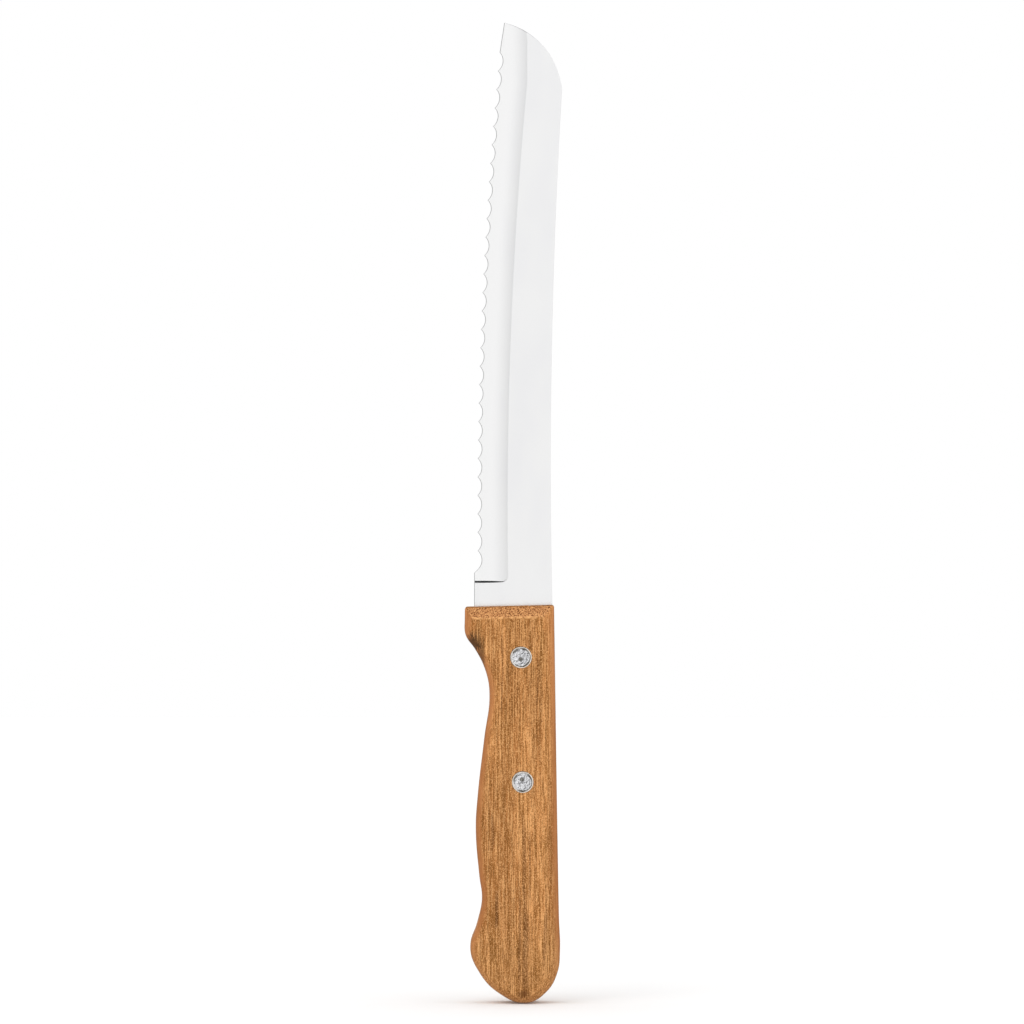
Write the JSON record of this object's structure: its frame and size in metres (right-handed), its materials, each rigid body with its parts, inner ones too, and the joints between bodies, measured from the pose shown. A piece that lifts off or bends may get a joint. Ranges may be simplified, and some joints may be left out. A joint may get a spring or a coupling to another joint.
{
  "type": "bread knife",
  "caption": "Serrated steel bread-knife blade with a rounded back at the tip, riveted by a half tang into a contoured wooden handle with a finger guard and hooked pommel.",
  "frame": {"origin": "lowest point of the pommel's height, under the middle of the knife's bounding box, in the blade's mid-plane", "axes": "+Z from the pommel to the tip, -X the cutting edge, +X the spine, Y through the blade's thickness"},
  "size_m": [0.0299, 0.017, 0.2994],
  "materials": {
    "blade_steel": "bright satin stainless steel",
    "handle_wood": "oiled open-pored hardwood",
    "rivet_aluminium": "hammered and sanded"
  },
  "bodies": {
    "root": {"blade": "blade_steel", "handle": "handle_wood", "front_rivet_sleeve": "rivet_aluminium", "front_rivet_pin": "rivet_aluminium", "rear_rivet_sleeve": "rivet_aluminium", "rear_rivet_pin": "rivet_aluminium"}
  },
  "joints": []
}
